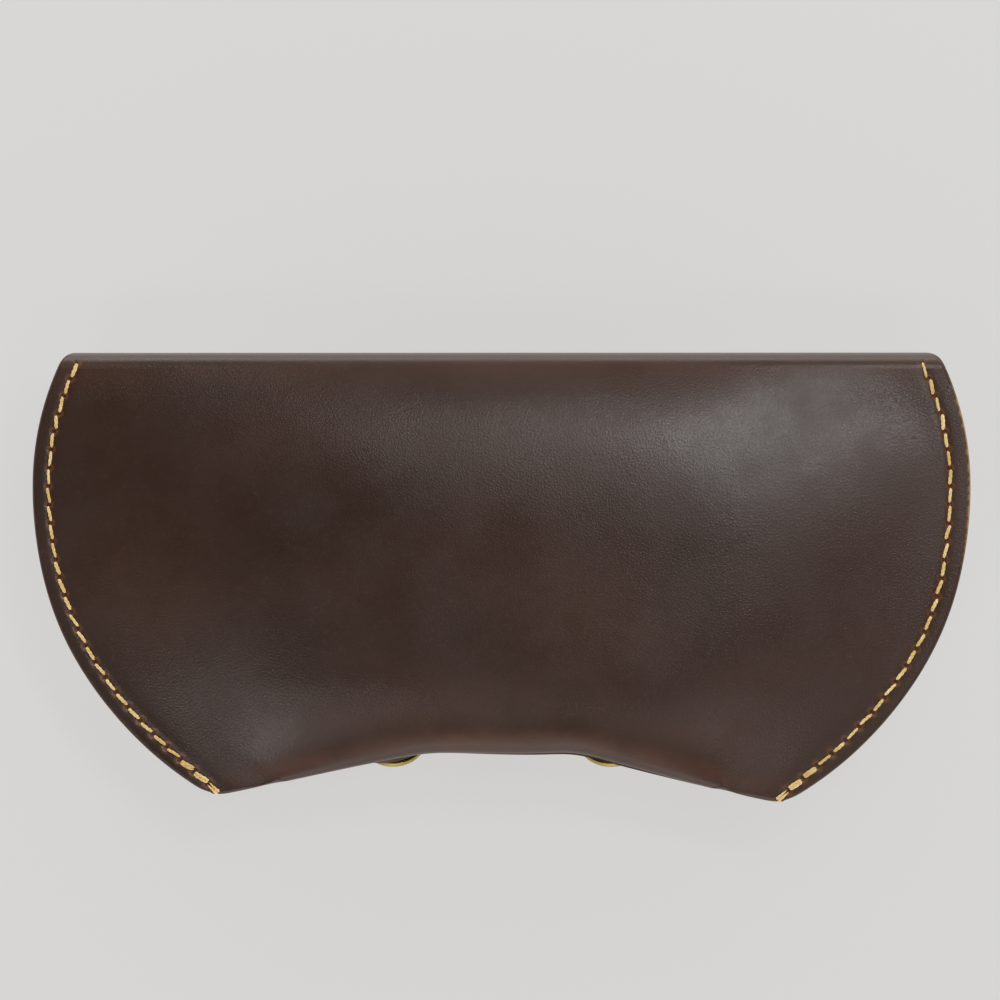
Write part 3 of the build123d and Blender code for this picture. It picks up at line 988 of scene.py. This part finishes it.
for side in ("left", "right"):
    for node in (f"snap_cap_{side}", f"snap_socket_{side}", f"snap_stud_{side}", f"snap_post_{side}"):
        shown = frame["nodes"][node]
        shown.data.materials.clear()
        shown.data.materials.append(cap_metal if "cap" in node else stud_metal)
        shown.data.shade_smooth()


# Floor, light and camera

def pale(name):
    """Pale floor: where it is seen most of it glows evenly, and the rest keeps the shadow."""
    material, tree, shader = nodes_of(name)
    shader.inputs["Base Color"].default_value = (0.70, 0.695, 0.68, 1)
    shader.inputs["Roughness"].default_value = 0.9
    shader.inputs["Specular IOR Level"].default_value = 0.0
    w = Wire(tree)
    glow = w.node("ShaderNodeEmission")
    glow.inputs["Color"].default_value = (0.71, 0.703, 0.69, 1)
    both = w.node("ShaderNodeMixShader")
    w.join(w.math("MULTIPLY", w.seen(), 0.78), both.inputs["Fac"])
    w.join(shader.outputs["BSDF"], both.inputs[1])
    w.join(glow.outputs["Emission"], both.inputs[2])
    w.join(both.outputs["Shader"], tree.nodes["Material Output"].inputs["Surface"])
    return material


bpy.ops.mesh.primitive_plane_add(size=6, location=(0, 0, -0.0002))
floor = bpy.context.object
floor.name = "floor"
floor.data.materials.append(pale("pale_floor"))


def lamp(name, place, target, size, power):
    """A soft lamp aimed at a point, which the camera doesn't see."""
    light = bpy.data.lights.new(name, "AREA")
    light.shape = "RECTANGLE"
    light.size, light.size_y = size
    light.energy = power
    obj = bpy.data.objects.new(name, light)
    bpy.context.scene.collection.objects.link(obj)
    obj.location = place
    aim = Vector(target) - obj.location
    obj.rotation_mode = "QUATERNION"
    obj.rotation_quaternion = aim.to_track_quat("-Z", "Y")
    obj.visible_camera = False


lamp("upper_right", (0.24, 0.37, 1.04), (0.05, 0.02, 0.02), (0.20, 0.08), 1.05)
lamp("right", (0.32, 0.17, 1.04), (0.06, 0.01, 0.02), (0.12, 0.10), 0.75)
lamp("upper_middle", (0.10, 0.48, 1.03), (0.02, 0.02, 0.02), (0.40, 0.09), 0.75)
lamp("lower_left", (-0.34, -0.47, 1.03), (-0.04, -0.02, 0.02), (0.22, 0.26), 1.0)
lamp("lower_right", (0.29, -0.44, 1.03), (0.04, -0.02, 0.02), (0.16, 0.14), 0.5)
lamp("behind", (0.05, 1.15, 0.33), (0, 0, 0.025), (1.9, 0.36), 4.5)
lamp("before", (0.0, -1.05, 0.14), (0, 0, 0.02), (1.7, 0.26), 1.5)

world_light = bpy.data.worlds.new("studio")
bpy.context.scene.world = world_light
world_light.use_nodes = True
w = Wire(world_light.node_tree)
sky = world_light.node_tree.nodes["Background"]
up = w.node("ShaderNodeSeparateXYZ")
w.join(w.node("ShaderNodeTexCoord").outputs["Generated"], up.inputs["Vector"])
studio = w.range(up.outputs["Z"], 0.05, 0.80, 2.3, 0.07)
shown = w.range(up.outputs["Z"], 0.25, 0.80, 1.0, 0.10)
seen = w.seen()
strength = w.math(
    "ADD", w.math("MULTIPLY", studio, w.math("SUBTRACT", 1.0, seen)), w.math("MULTIPLY", shown, seen)
)
w.join(w.mix(seen, (1.0, 0.995, 0.985, 1), (0.70, 0.695, 0.68, 1)), sky.inputs["Color"])
w.join(strength, sky.inputs["Strength"])

camera_data = bpy.data.cameras.new("camera")
camera = bpy.data.objects.new("camera", camera_data)
bpy.context.scene.collection.objects.link(camera)
distance = 0.75
view_width = 0.187
yaw = math.radians(0.6)
target = Vector((-0.0002, 0.01385, seam_height * 0.001))
back = Vector((math.sin(yaw), 0, math.cos(yaw)))
camera.location = target + back * distance
camera.rotation_mode = "QUATERNION"
turned = Matrix(((back.z, 0, back.x), (0, 1, 0), (-back.x, 0, back.z)))
camera.rotation_quaternion = turned.to_quaternion()
camera_data.sensor_width = 36.0
camera_data.lens = camera_data.sensor_width * distance / view_width
bpy.context.scene.camera = camera
bpy.context.scene.view_settings.view_transform = "Standard"
